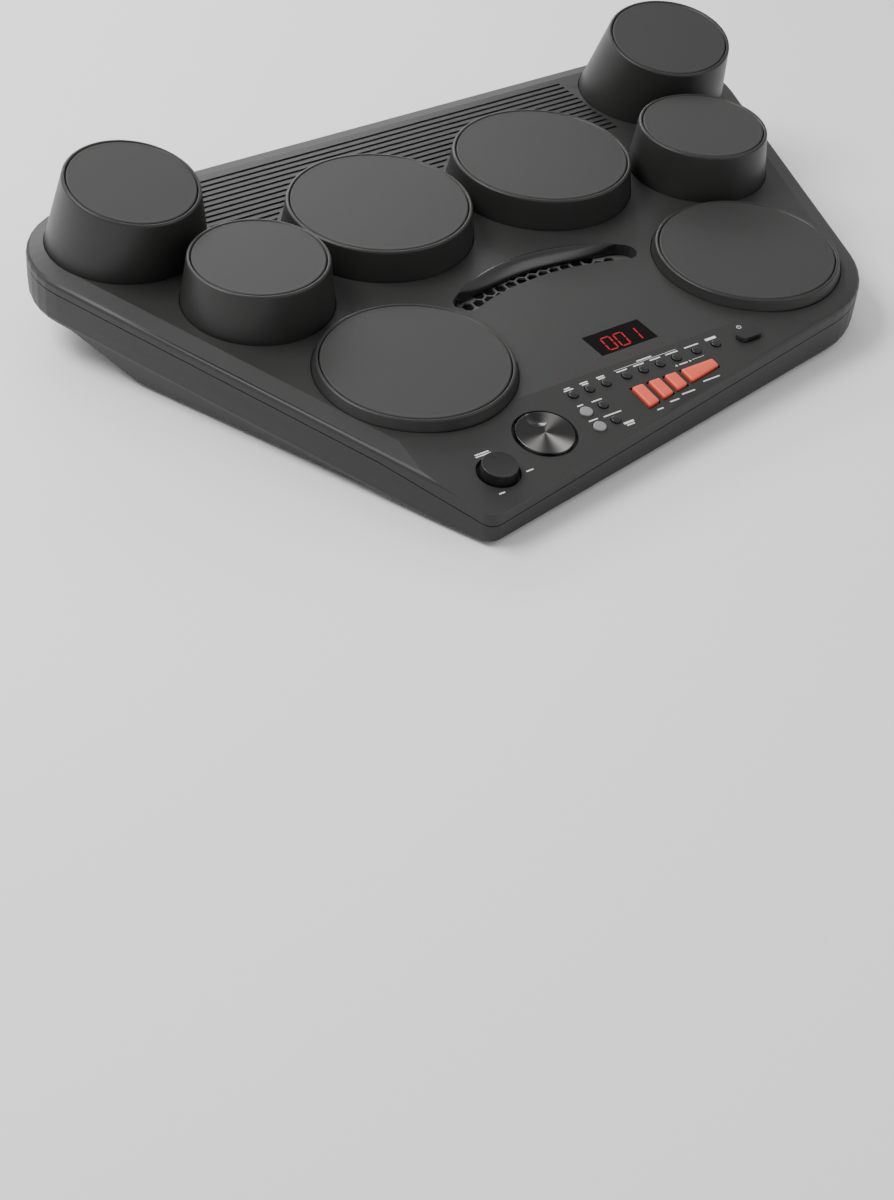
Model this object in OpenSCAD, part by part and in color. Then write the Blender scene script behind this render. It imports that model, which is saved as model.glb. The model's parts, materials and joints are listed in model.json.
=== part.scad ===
// Tabletop percussion pad unit: eight raised drum pads on a sloping case with a
// control strip along its slanted front edge.
// Everything is drawn in the panel's frame: X to the right, Y to the back, Z out of
// the flat panel, with Y = 0 on the line of the front pads' centres. in_place() then
// tips it so that the feet stand level on Z = 0.

/* [Case] */
// Width across the widest part of the case
case_w = 601; // [598:1:730]
// Depth along the panel, front corner to back edge
case_d = 425; // [420:1:515]
// Angle of each side against the depth direction
side_angle = 19.3; // [18:0.1:20.5]
// How much further back the front edge lies at its right end
front_rise = 110.3; // [85:0.1:122]
// Radius of the two rear corners, seen from above
rear_corner_r = 65; // [55:1:75]
// Radius of the front right corner
right_corner_r = 80; // [60:1:90]
// Radius of the front left corner
left_corner_r = 9; // [6:0.5:12]
// Thickness of every case wall
wall = 2.6; // [2.2:0.1:3.2]
// Height of the case sides, panel to crease
side_h = 36; // [34:0.5:44]
// Height of the top cover's rim under the panel
rim_h = 10.6; // [9:0.1:12]
// Height of the case at the front corner
front_h = 29; // [27:0.5:32]
// Angle between the panel and the table
base_tilt = 5.5; // [4.5:0.1:6.5]
// Distance from the back edge to the deepest line of the pan
pan_back = 145; // [135:1:165]
// Length of the pan's sloping rear face
pan_rear_d = 55; // [45:1:65]
// Inward slope of the pan's sides
pan_side_slope = 14; // [8:1:20]
// Width of the sloping margin along the sides and back
margin_w = 14; // [10:0.5:18]
// Drop of that margin at the outer edge
margin_drop = 3; // [2:0.1:4]

/* [Control strip] */
// Depth of the control strip, front corner to crease
strip_d = 82; // [78:1:90]
// Downward slope of the control strip
strip_angle = 5.6; // [4:0.1:7]
// Radius of the small round buttons
small_r = 3.3; // [2.6:0.1:4]
// Radius of the two grey buttons
grey_r = 4.4; // [3.8:0.1:5.4]
// Gap between a button and its hole
button_gap = 0.4; // [0.25:0.05:0.6]
// How far the buttons stand above the strip
button_up = 1.3; // [1:0.1:2]
// Travel of the buttons
button_travel = 1; // [0.6:0.1:1.2]
// Radius of the data dial
dial_r = 19.5; // [16:0.5:21]
// Radius of the volume knob
knob_r = 11.7; // [10:0.1:13]
// Height of the volume knob above the strip
knob_up = 6.5; // [5:0.5:9]
// Width of the dark gap round the dial
dial_gap = 2; // [1:0.1:2.5]
// Width of the dark gap round the knob
knob_gap = 2.8; // [1.5:0.1:3.5]
// Radius of the knob's and the dial's shaft
shaft_r = 3; // [2.5:0.1:3.5]
// Radial running clearance of a shaft in its bush
shaft_play = 0.05; // [0.02:0.01:0.1]
// Width of the display window
window_w = 47; // [40:1:56]
// Depth of the display window
window_d = 23; // [20:1:26]

/* [Pads] */
// Distance of the front pads' line from the back edge
front_row = 285; // [283:1:290]
// Radius of the playing disc on the front and middle pads
big_r = 62.1; // [58:0.1:63]
// Radius of the playing disc on the side pads
side_r = 44.5; // [41:0.1:46]
// Radius of the playing disc on the rear pads
rear_r = 43.8; // [40:0.1:46]
// Height of the front pads
front_up = 7.1; // [6.8:0.1:12]
// Height of the middle pads
mid_up = 22.8; // [18:0.1:28]
// Height of the side pads
side_up = 34.4; // [28:0.1:40]
// Height of the rear pads
rear_up = 51.3; // [44:0.1:58]
// Forward lean of the rear pads' faces
rear_lean = 8.85; // [6:0.05:11]
// Inward lean of the rear pads' faces
rear_inward = 3.6; // [2:0.1:5]
// Gap round each playing disc
disc_gap = 0.8; // [0.5:0.1:1.2]
// Width of the rim round each playing disc
pad_rim = 2.4; // [2:0.1:3.5]
// Thickness of the rubber playing disc
skin_t = 3.5; // [3:0.1:4.5]
// Thickness of the sensor plate
plate_t = 1.5; // [1.2:0.1:2]
// Thickness of the foam ring under the sensor plate
foam_t = 2; // [1.5:0.1:2.5]
// Thickness of the pad cup's wall
cup_wall = 2.5; // [2:0.1:3]
// Gap between a pad cup and its hole in the panel
cup_gap = 0.5; // [0.3:0.1:0.8]

/* [Sound, power and sockets] */
// Depth of the sound slot
slot_depth = 9; // [7:0.5:11]
// Distance between the honeycomb's cells
cell_pitch = 9.4; // [8:0.1:11]
// Width of the honeycomb's strips
cell_strip = 1.3; // [1:0.1:2]
// Radius of each loudspeaker
speaker_r = 33; // [30:0.5:34]
// Inside width of the battery bay
bay_w = 152; // [150:1:165]
// Inside length of the battery bay
bay_l = 54; // [52:0.5:56]
// Inside depth of the battery bay
bay_h = 28; // [27:0.5:31]
// Radius of the phone and pedal sockets
jack_r = 3.25; // [3.2:0.01:3.3]
// Radius of the small audio socket
mini_r = 1.8; // [1.78:0.01:1.85]
// Height of the rubber feet
foot_h = 4; // [3:0.5:6]
// Radius of the rubber feet
foot_r = 10; // [8:0.5:12]

/* [Hidden] */

$fn = 64;

far = 900;

// ---- plan of the case: four straight sides and four round corners ----
back_y = front_row;
front_y = back_y - case_d;
crease_y = front_y + strip_d;
front_angle = atan(front_rise / case_w);
n_back = [0, 1];
n_right = [cos(side_angle), -sin(side_angle)];
n_front = [sin(front_angle), -cos(front_angle)];
n_left = [-cos(side_angle), -sin(side_angle)];
rear_c = [case_w / 2 - rear_corner_r, back_y - rear_corner_r];
d_side = n_right * rear_c + rear_corner_r;
left_c = [-(d_side - left_corner_r + sin(side_angle) * (front_y + left_corner_r))
          / cos(side_angle), front_y + left_corner_r];
d_front = n_front * left_c + left_corner_r;

// Point where two lines, each n * p = d, cross
function crossing(n1, d1, n2, d2) =
    let (det = n1.x * n2.y - n2.x * n1.y)
    [(d1 * n2.y - d2 * n1.y) / det, (n1.x * d2 - n2.x * d1) / det];

// Round corner between two sides moved in by i1 and i2, as count + 1 points
function corner(n1, d1, i1, n2, d2, i2, r, count) =
    let (rr = max(0.6, r - min(i1, i2)),
         c = crossing(n1, d1 - i1 - rr, n2, d2 - i2 - rr),
         a1 = atan2(n1.y, n1.x),
         turn = ((atan2(n2.y, n2.x) - a1) % 360 - 360) % 360)
    [for (k = [0:count]) c + rr * [cos(a1 + turn * k / count),
                                   sin(a1 + turn * k / count)]];

// Clockwise plan outline, moved in by i = [back, right, front, left]
function outline4(i) = concat(
    corner(n_back, back_y, i[0], n_right, d_side, i[1], rear_corner_r, 12),
    corner(n_right, d_side, i[1], n_front, d_front, i[2], right_corner_r, 8),
    corner(n_front, d_front, i[2], n_left, d_side, i[3], left_corner_r, 5),
    corner(n_left, d_side, i[3], n_back, back_y, i[0], rear_corner_r, 12));
function outline(i) = outline4([i, i, i, i]);
function side_x(y) = (d_side + sin(side_angle) * y) / cos(side_angle);
function front_edge(x) = (sin(front_angle) * x - d_front) / cos(front_angle);
front_left = crossing(n_left, d_side, n_front, d_front);

// Ring of the outline, moved in by i, at height z
function ring(i, z) = [for (p = outline4(i)) [p.x, p.y, z]];

// Closed solid through rings that all have the same number of points
module loft(rings) {
    n = len(rings[0]);
    m = len(rings);
    polyhedron(
        points = [for (r = rings) for (p = r) p],
        faces = concat(
            [[for (k = [n - 1:-1:0]) k]],
            [[for (k = [0:n - 1]) (m - 1) * n + k]],
            [for (j = [0:m - 2]) for (k = [0:n - 1])
                [j * n + k, j * n + (k + 1) % n, (j + 1) * n + k]],
            [for (j = [0:m - 2]) for (k = [0:n - 1])
                [(j + 1) * n + k, j * n + (k + 1) % n, (j + 1) * n + (k + 1) % n]]),
        convexity = 6);
}

// ---- the case's surfaces ----
strip_slope = tan(strip_angle);
base_slope = tan(base_tilt);
base_y = front_y + 2;
base_z = -front_h;
pan_y = back_y - pan_back;
edge_r = 2.2;
low_edge_r = 4;
pan_rear_slope = (-side_h - (base_z - base_slope * (pan_y - base_y))) / pan_rear_d;
function all(i) = [i, i, i, i];
function base_at(y) = base_z - base_slope * (y - base_y);
function strip_at(y) = min(0, (y - crease_y) * strip_slope);

function floor_at(y) = y < pan_y ? base_at(y)
    : min(-side_h, base_at(pan_y) + (y - pan_y) * pan_rear_slope);

// Everything in front of the crease and above the control strip
module above_strip(g) {
    translate([0, crease_y, -g]) rotate([strip_angle, 0, 0])
        translate([-far, -far, 0]) cube([2 * far, far, far]);
}

// Everything under the level base
module under_base(g) {
    on_base(base_y) translate([-far, -far, g - far]) cube([2 * far, 3 * far, far]);
}

// Wedge pan under the sides, from nothing at the front to its deepest line
module pan_block(g) {
    deep = 90;
    spread = tan(pan_side_slope);
    intersection() {
        loft([ring(all(g + edge_r + deep * spread), 5 - side_h - deep),
              ring(all(g + edge_r), 5 - side_h)]);
        translate([-far, front_y + 40, -far]) cube([2 * far, far, 2 * far]);
        translate([0, pan_y - g, base_at(pan_y)]) rotate([atan(pan_rear_slope), 0, 0])
            translate([-far, -far, 0]) cube([2 * far, 2 * far, far]);
    }
}

// The whole case as one block, every face moved in by g
module body_block(g) {
    m = margin_w + g;
    z = g - side_h;
    top = -g - margin_drop;
    difference() {
        union() {
            loft([ring(all(g + low_edge_r), z), ring(all(g + 1.2), z + 1.2),
                  ring(all(g + 0.3), z + low_edge_r), ring(all(g), z + 12),
                  ring(all(g), top - 3.2), ring(all(g + 0.7), top - 1.2),
                  ring(all(g + edge_r), top), ring([m, m, g + edge_r + 1.6, m], -g)]);
            pan_block(g);
        }
        above_strip(g);
        under_base(g);
    }
}

// Everything under the parting line, moved down by drop
module below_parting(drop = 0) {
    part_slope = 0.75 * strip_angle;
    intersection() {
        translate([-far, -far, -far - rim_h - drop]) cube([2 * far, 2 * far, far]);
        translate([0, crease_y, -rim_h - drop]) rotate([part_slope, 0, 0])
            translate([-far, -far, -far]) cube([2 * far, 2 * far, far]);
    }
}

part_gap = 0.7;

// ---- frames ----
rear_row_y = (back_y - base_y) * cos(base_tilt)
    - (low_edge_r - side_h - base_z) * sin(base_tilt);
front_row_y = (front_y - base_y) * cos(base_tilt)
    - (strip_at(front_y) - 3.2 - base_z) * sin(base_tilt);
row_shift = -(rear_row_y + front_row_y) / 2;
module in_place() {
    translate([0, row_shift, foot_h]) rotate([base_tilt, 0, 0])
        translate([0, -base_y, -base_z]) children();
}
module on_strip() {
    translate([0, crease_y, 0]) rotate([strip_angle, 0, 0]) children();
}
module on_base(y) {
    translate([0, y, base_at(y)]) rotate([-base_tilt, 0, 0]) children();
}
module both_sides() {
    children();
    mirror([1, 0, 0]) children();
}

// ---- pads ----
seat_t = skin_t + plate_t + foam_t;
flange_z = -wall - 1.8;
flange_t = 2;
ear_out = 3.2;
ear_step = 0.4;
ear_r = 4;
pad_screw_r = 1.2;
foot_step = 0.3;
front_pad = [side_x(0) - 86.6, 0];
mid_pad = [70.4, back_y - 132.9];
side_pad = [side_x(back_y - 170.1) - 77.6, back_y - 170.1];
rear_pad = [case_w / 2 - 69.9, back_y - 63];
rear_top = [1, -11.7, rear_up];
// Each pad: foot centre, top centre above it, lean, inward lean, disc radius,
// widening of the cup down to the panel, ear angles
FRONT = [front_pad, [0, 0, front_up], 0, 0, big_r, 1.9, [20, 160, 258]];
MID = [mid_pad, [0, 0, mid_up], 0, 0, big_r, 2.4, [60, 130, 270]];
SIDE = [side_pad, [0, 0, side_up], 0, 0, side_r, 4.1, [-30, 110, 210]];
REAR = [rear_pad, rear_top, rear_lean, rear_inward, rear_r, 9, [-60, 140, 215]];
PADS = [FRONT, MID, SIDE, REAR];
function seat_r(p) = p[4] + disc_gap;
function rim_r(p) = seat_r(p) + pad_rim;
function foot_pad_r(p) = rim_r(p) + p[5];
// The leaning rear pads sit close to the case wall, so their flange stays in the hole
function flange_out(p) = p[2] > 0 ? cup_gap - 0.2 : 1.6;

// Places its children on a pad's top face, side +1 right and -1 left
module on_pad(p) {
    translate([p[0].x, p[0].y, 0]) translate(p[1]) rotate([p[2], -p[3], 0])
        children();
}
module handed(side) {
    if (side > 0) children();
    else mirror([1, 0, 0]) children();
}
module at_ears(p) {
    for (a = p[6])
        translate([p[0].x, p[0].y, 0]) rotate([0, 0, a])
            translate([foot_pad_r(p) + ear_out, 0, 0]) children();
}

module cup_solid(p, in) {
    if (p[2] == 0)
        translate([p[0].x, p[0].y, 0])
            cylinder(h = p[1].z - (in > 0 ? seat_t + cup_wall : 0),
                     r1 = foot_pad_r(p) - in, r2 = rim_r(p) - in, $fn = 96);
    else
        hull() {
            translate([p[0].x, p[0].y, 0])
                cylinder(h = 0.2, r = foot_pad_r(p) - in, $fn = 48);
            on_pad(p) translate([0, 0, in > 0 ? -seat_t - cup_wall - 0.2 : -0.2])
                cylinder(h = 0.2, r = rim_r(p) - in, $fn = 48);
        }
}

module pad_cup(p, side) color([0.20, 0.20, 0.21]) handed(side) {
    difference() {
        union() {
            cup_solid(p, 0);
            translate([p[0].x, p[0].y, flange_z - flange_t])
                cylinder(h = flange_t - flange_z, r = foot_pad_r(p) - foot_step, $fn = 96);
            translate([p[0].x, p[0].y, flange_z - flange_t + ear_step])
                cylinder(h = flange_t - 2 * ear_step, r = foot_pad_r(p) + flange_out(p),
                         $fn = 96);
            at_ears(p) translate([0, 0, flange_z - flange_t])
                cylinder(h = flange_t, r = ear_r, $fn = 32);
        }
        if (p[1].z > seat_t + cup_wall + 1) cup_solid(p, cup_wall);
        translate([p[0].x, p[0].y, flange_z - flange_t - 1])
            cylinder(h = min(1, p[1].z - seat_t - cup_wall) - flange_z + flange_t + 1,
                     r = foot_pad_r(p) - cup_wall - 2 * foot_step, $fn = 96);
        on_pad(p) translate([0, 0, -seat_t]) cylinder(h = 40, r = seat_r(p), $fn = 96);
        on_pad(p) translate([0, 0, -seat_t - cup_wall - 1])
            cylinder(h = cup_wall + 2, r = 4);
        at_ears(p) translate([0, 0, flange_z - flange_t - 1])
            cylinder(h = flange_t + 2, r = pad_screw_r + 0.3, $fn = 24);
    }
}

module pad_skin(p, side) color([0.15, 0.15, 0.155]) handed(side)
    on_pad(p) translate([0, 0, -skin_t]) {
        cylinder(h = skin_t - 0.4, r = p[4], $fn = 96);
        translate([0, 0, skin_t - 0.4]) cylinder(h = 0.4, r = p[4] - 0.8, $fn = 96);
    }

module sensor_plates() color([0.6, 0.6, 0.62]) both_sides()
    for (p = PADS) on_pad(p) translate([0, 0, -skin_t - plate_t])
        cylinder(h = plate_t, r = p[4] - 1, $fn = 96);

module sensor_foam() color([0.1, 0.1, 0.1]) both_sides()
    for (p = PADS) on_pad(p) translate([0, 0, -seat_t]) difference() {
        cylinder(h = foam_t, r = p[4] - 2);
        translate([0, 0, -1]) cylinder(h = foam_t + 2, r = p[4] / 2);
    }

module piezo_sensors() color([0.8, 0.68, 0.3]) both_sides()
    for (p = PADS) on_pad(p) translate([0, 0, -skin_t - plate_t]) {
        translate([0, 0, -0.3]) cylinder(h = 0.3, r = 13.5);
        translate([0, 0, -0.6]) cylinder(h = 0.3, r = 10);
    }

module pad_screws() color([0.5, 0.5, 0.52]) both_sides()
    for (p = PADS) at_ears(p) {
        translate([0, 0, flange_z - flange_t]) cylinder(h = flange_t + 4 * 0.35,
                                                        r = pad_screw_r, $fn = 24);
        translate([0, 0, flange_z - flange_t - 1.6])
            cylinder(h = 1.6, r = 2.5, $fn = 24);
    }

// ---- controls, in the strip's frame with their origin at the front left corner ----
ctrl_x = front_left.x + 178;
row_v = -13;
SMALL = [[-66, row_v], [-52.5, row_v], [-39, row_v], [-22, row_v], [-8, row_v],
         [6, row_v], [20, row_v], [37, row_v], [54, row_v], [-54, -29.5],
         [-55, -44.7]];
GREY = [[-68, -30], [-68.5, -45.2]];
LED_X = [-65, -51, -37, -20, -6.5, 8, 21.5];
dial_at = [ctrl_x - 104.5, -34.9];
knob_at = [ctrl_x - 151.6, -50.9];
power_at = [ctrl_x + 80, -16.4];
red_top = -24.2;
red_margin = 10.4;
red_gap = 3.4;
RED_X = [-28, -14.2, -0.7, 13.3];
RED_W = [10.4, 10.4, 10.6, 28];
led_y = crease_y + 4;
window_y = crease_y + 22.6;
switch_gap = button_travel + 0.2;
flange_gap = 0.3;
cap_flange = 1;
switch_h = 3.6;
stem_z = -wall - flange_gap - cap_flange - 1.6;
board_top = stem_z - switch_gap - switch_h;
board_t = 1.6;
well_dial = 3.4;
well_knob = 4;
well_floor = 1.8;
bush_play = 0.6;

// Red button number k as a plan polygon grown by g; its front edge follows the case
function red_poly(k, g) =
    let (x0 = ctrl_x + RED_X[k] - g, x1 = ctrl_x + RED_X[k] + RED_W[k] + g)
    [[x0, red_top + g], [x1, red_top + g],
     [x1, (front_edge(x1) - crease_y) / cos(strip_angle) + red_margin - g],
     [x0, (front_edge(x0) - crease_y) / cos(strip_angle) + red_margin - g]];
function red_mid(k) = let (p = red_poly(k, 0)) (p[0] + p[1] + p[2] + p[3]) / 4;

// Stem and retaining flange that every button has under the strip
module button_foot(at) {
    translate([at.x, at.y, stem_z]) cylinder(h = -stem_z - wall, r = 1.6, $fn = 32);
}
module round_button(at, r) on_strip() {
    c = [ctrl_x + at[0], at[1], 0];
    translate(c) {
        translate([0, 0, -wall - flange_gap - cap_flange])
            cylinder(h = wall + flange_gap + cap_flange + button_up - 0.5, r = r);
        translate([0, 0, button_up - 0.5]) cylinder(h = 0.5, r1 = r, r2 = r - 0.5);
        translate([0, 0, -wall - flange_gap - cap_flange])
            cylinder(h = cap_flange, r = r + button_gap + 0.8);
    }
    button_foot(c);
}
module small_button(k) color([0.09, 0.09, 0.09]) round_button(SMALL[k], small_r);
module grey_button(k) color([0.55, 0.55, 0.56]) round_button(GREY[k], grey_r);

module red_button(k) color([0.89, 0.41, 0.33]) on_strip() {
    low = -wall - flange_gap - cap_flange;
    translate([0, 0, low])
        linear_extrude(height = button_up + 0.6 - low) polygon(red_poly(k, 0));
    translate([0, 0, button_up + 0.6])
        linear_extrude(height = 0.6) polygon(red_poly(k, -0.6));
    translate([0, 0, low])
        linear_extrude(height = cap_flange) polygon(red_poly(k, button_gap + 0.8));
    button_foot(red_mid(k));
}

power_w = 19;
power_d = 9;
module stadium(w, d, h) {
    for (s = [-1, 1]) translate([s * (w - d) / 2, 0, 0]) cylinder(h = h, d = d);
    translate([-(w - d) / 2, -d / 2, 0]) cube([w - d, d, h]);
}
module power_button() color([0.13, 0.13, 0.13]) on_strip()
    translate([power_at.x, power_at.y, 0]) {
        low = -wall - flange_gap - cap_flange;
        up = 1.4;
        translate([0, 0, low]) stadium(power_w, power_d, up + button_up - low);
        translate([0, 0, up + button_up]) stadium(power_w - 1, power_d - 1, 0.5);
        translate([0, 0, low])
            stadium(power_w + 2, power_d + 2, cap_flange);
        button_foot([0, 0]);
    }

module data_dial() color([0.05, 0.05, 0.05]) on_strip()
    translate([dial_at.x, dial_at.y, 0]) difference() {
        union() {
            translate([0, 0, -well_dial + 0.5])
                cylinder(h = well_dial - 0.1, r = dial_r, $fn = 96);
            translate([0, 0, 0.4]) cylinder(h = 0.8, r1 = dial_r, r2 = dial_r - 1.2,
                                            $fn = 96);
        }
        translate([0, 0, 0.7]) cylinder(h = 1, r1 = 4, r2 = dial_r + 2, $fn = 96);
        translate([2, dial_r - 7.4, 5.6]) sphere(r = 7, $fn = 48);
        translate([0, 0, -well_dial]) cylinder(h = well_dial - 0.6, r = shaft_r);
    }

module dial_shaft() color([0.7, 0.7, 0.72]) on_strip()
    translate([dial_at.x, dial_at.y, board_top + 0.6])
        cylinder(h = -board_top - 1.2, r = shaft_r);

module bushed_body(half, top) difference() {
    translate([-half, -half, board_top]) cube([2 * half, 2 * half, top - board_top]);
    translate([0, 0, board_top + 0.4]) cylinder(h = top - board_top, r = shaft_r + shaft_play);
}
module dial_encoder() color([0.35, 0.38, 0.36]) on_strip()
    translate([dial_at.x, dial_at.y, 0])
        bushed_body(6, -well_dial - well_floor - 0.2);

module volume_knob() color([0.08, 0.08, 0.085]) on_strip()
    translate([knob_at.x, knob_at.y, 0]) difference() {
        union() {
            translate([0, 0, 0.5 - well_knob])
                cylinder(h = knob_up + well_knob - 1.7, r1 = knob_r + 0.9, r2 = knob_r,
                         $fn = 96);
            translate([0, 0, knob_up - 1.2])
                cylinder(h = 1.2, r1 = knob_r, r2 = knob_r - 1.1, $fn = 96);
        }
        translate([-0.6, knob_r - 4.4, knob_up - 0.5]) cube([1.2, 3.4, 1]);
        translate([0, 0, -well_knob]) cylinder(h = well_knob + 3, r = shaft_r);
    }
module volume_shaft() color([0.7, 0.7, 0.72]) on_strip()
    translate([knob_at.x, knob_at.y, board_top + 0.6])
        cylinder(h = 3 - board_top - 0.6, r = shaft_r);
module volume_pot() color([0.3, 0.42, 0.36]) on_strip()
    translate([knob_at.x, knob_at.y, 0])
        bushed_body(8, -well_knob - well_floor - 0.2);

module tact_switches() color([0.12, 0.12, 0.13]) on_strip() {
    spots = concat([for (s = concat(SMALL, GREY)) [ctrl_x + s[0], s[1]]],
                   [for (k = [0:3]) red_mid(k)], [power_at]);
    for (s = spots) translate([s.x, s.y, board_top]) {
        translate([-3, -3, 0]) cube([6, 6, switch_h - 1]);
        cylinder(h = switch_h, r = 1.7, $fn = 32);
    }
}

// Board under the strip: its front edge runs along the case's slanted front
board_margin = wall + 5;
module panel_board() color([0.1, 0.3, 0.18]) difference() {
    on_strip() translate([0, 0, board_top - board_t]) linear_extrude(height = board_t) {
        x0 = knob_at.x - 14;
        x1 = power_at.x + 16;
        cut = board_margin - crease_y;
        polygon([[x0, -6], [x1, -6], [x1, max(-24, front_edge(x1) + cut)],
                 [x1 - 12, front_edge(x1) + cut], [x0, front_edge(x0) + cut]]);
    }
    at_screws() translate([0, 0, -30]) cylinder(h = 60, r = boss_r + button_gap);
}

// ---- display and indicators on the flat panel ----
window_t = 1.2;
window_ledge = 1.2;
module display_window() color([0.03, 0.02, 0.02])
    translate([-window_w / 2, window_y - window_d / 2, -window_t])
        cube([window_w, window_d, window_t - 0.1]);
module display_module() color([0.16, 0.03, 0.03]) {
    translate([-window_w / 2 + 1.5, window_y - window_d / 2 + 1.5, -9])
        cube([window_w - 3, window_d - 3, 9 - wall - 0.3]);
    for (s = [-1, 1]) translate([s * (window_w / 2 - 5) - 2, window_y - 2, -12])
        cube([4, 4, 3]);
}
module indicator_leds() color([0.6, 0.08, 0.05])
    for (x = LED_X) translate([ctrl_x + x, led_y, -5]) {
        cylinder(h = 5, r = 0.8, $fn = 24);
        cylinder(h = 2, r = 1.3, $fn = 24);
    }

// ---- sound slot: a band between two arcs, with round ends ----
slot_mid_y = back_y - 208;
slot_back_r = 128.8;
slot_front_r = 182.6;
slot_half = 67.4;
slot_w = 27.3;
slot_end_r = 9.4;
function slot_poly(g) =
    let (cb = slot_mid_y - slot_back_r,
         cf = slot_mid_y - slot_w - slot_front_r,
         ab = asin((slot_half + 3.4) / slot_back_r),
         af = asin((slot_half - 3.4) / slot_front_r),
         e = [slot_half, slot_mid_y - 30.2])
    concat(
        [for (k = [-8:8]) [0, cb] + (slot_back_r + g)
            * [sin(ab * k / 8), cos(ab * k / 8)]],
        [for (k = [1:7]) e + (slot_end_r + g) * [cos(69 - 180 * k / 8),
                                               sin(69 - 180 * k / 8)]],
        [for (k = [8:-1:-8]) [0, cf] + (slot_front_r - g)
            * [sin(af * k / 8), cos(af * k / 8)]],
        [for (k = [7:-1:1]) [-e.x, e.y] + (slot_end_r + g)
            * [-cos(69 - 180 * k / 8), sin(69 - 180 * k / 8)]]);
mesh_t = 1.5;
module speaker_mesh() color([0.1, 0.1, 0.1])
    translate([0, 0, -slot_depth - mesh_t]) difference() {
        linear_extrude(height = mesh_t) polygon(slot_poly(wall));
        for (i = [-9:9], j = [-3:4])
            let (x = (i + (j % 2 == 0 ? 0 : 0.5)) * cell_pitch,
                 y = slot_mid_y - 16 + j * cell_pitch * sin(60),
                 reach = slot_half + slot_end_r - cell_pitch * 0.6,
                 back = slot_mid_y - slot_back_r
                     + sqrt(pow(slot_back_r - cell_pitch / 2, 2) - x * x),
                 front = slot_mid_y - slot_w - slot_front_r
                     + sqrt(pow(slot_front_r + cell_pitch / 2, 2) - x * x))
                if (abs(x) < reach && y < back && y > front)
                    translate([x, y, -1]) rotate([0, 0, 30])
                        cylinder(h = mesh_t + 2, $fn = 6,
                                 r = (cell_pitch - cell_strip) / 2 / cos(30));
    }

speaker_at = [speaker_r + 3.5, slot_mid_y - 30];
speaker_top = -slot_depth - mesh_t - 2;
module speakers() color([0.2, 0.2, 0.2]) both_sides()
    translate([speaker_at.x, speaker_at.y, speaker_top]) difference() {
        union() {
            translate([0, 0, -2]) cylinder(h = 2, r = speaker_r);
            translate([0, 0, -14]) cylinder(h = 12, r1 = 17, r2 = speaker_r - 4);
            translate([0, 0, -24]) cylinder(h = 10, r = 16);
        }
        translate([0, 0, -9]) cylinder(h = 9.5, r1 = 9, r2 = speaker_r - 6);
    }

// ---- screws that hold the case together ----
case_screw_r = 1.5;
boss_r = 5.4;
SCREWS = [[120, back_y - 17], [-120, back_y - 17],
          [side_x(120) - 18, 120], [-side_x(120) + 18, 120],
          [side_x(60) - 16, 60], [-side_x(60) + 16, 60], [0, slot_mid_y + 20],
          [front_left.x - 7, front_left.y + 62], [front_left.x + 52, front_left.y + 20],
          [front_left.x + 292, crease_y - 17]];
screw_seat = 9;
boss_join = 1.6;
roof_in = 1.8;
function screw_z(s) = -rim_h - boss_join + strip_at(s.y);
module at_screws() {
    for (s = SCREWS) translate([s.x, s.y, screw_z(s)]) children();
}
module case_screws() color([0.35, 0.35, 0.36]) at_screws() {
    translate([0, 0, -screw_seat]) cylinder(h = screw_seat + 4, r = case_screw_r,
                                            $fn = 24);
    translate([0, 0, -screw_seat - 2.2]) difference() {
        cylinder(h = 2.2, r = 3, $fn = 32);
        translate([-2, -0.4, -1]) cube([4, 0.8, 2]);
        translate([-0.4, -2, -1]) cube([0.8, 4, 2]);
    }
}

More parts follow.
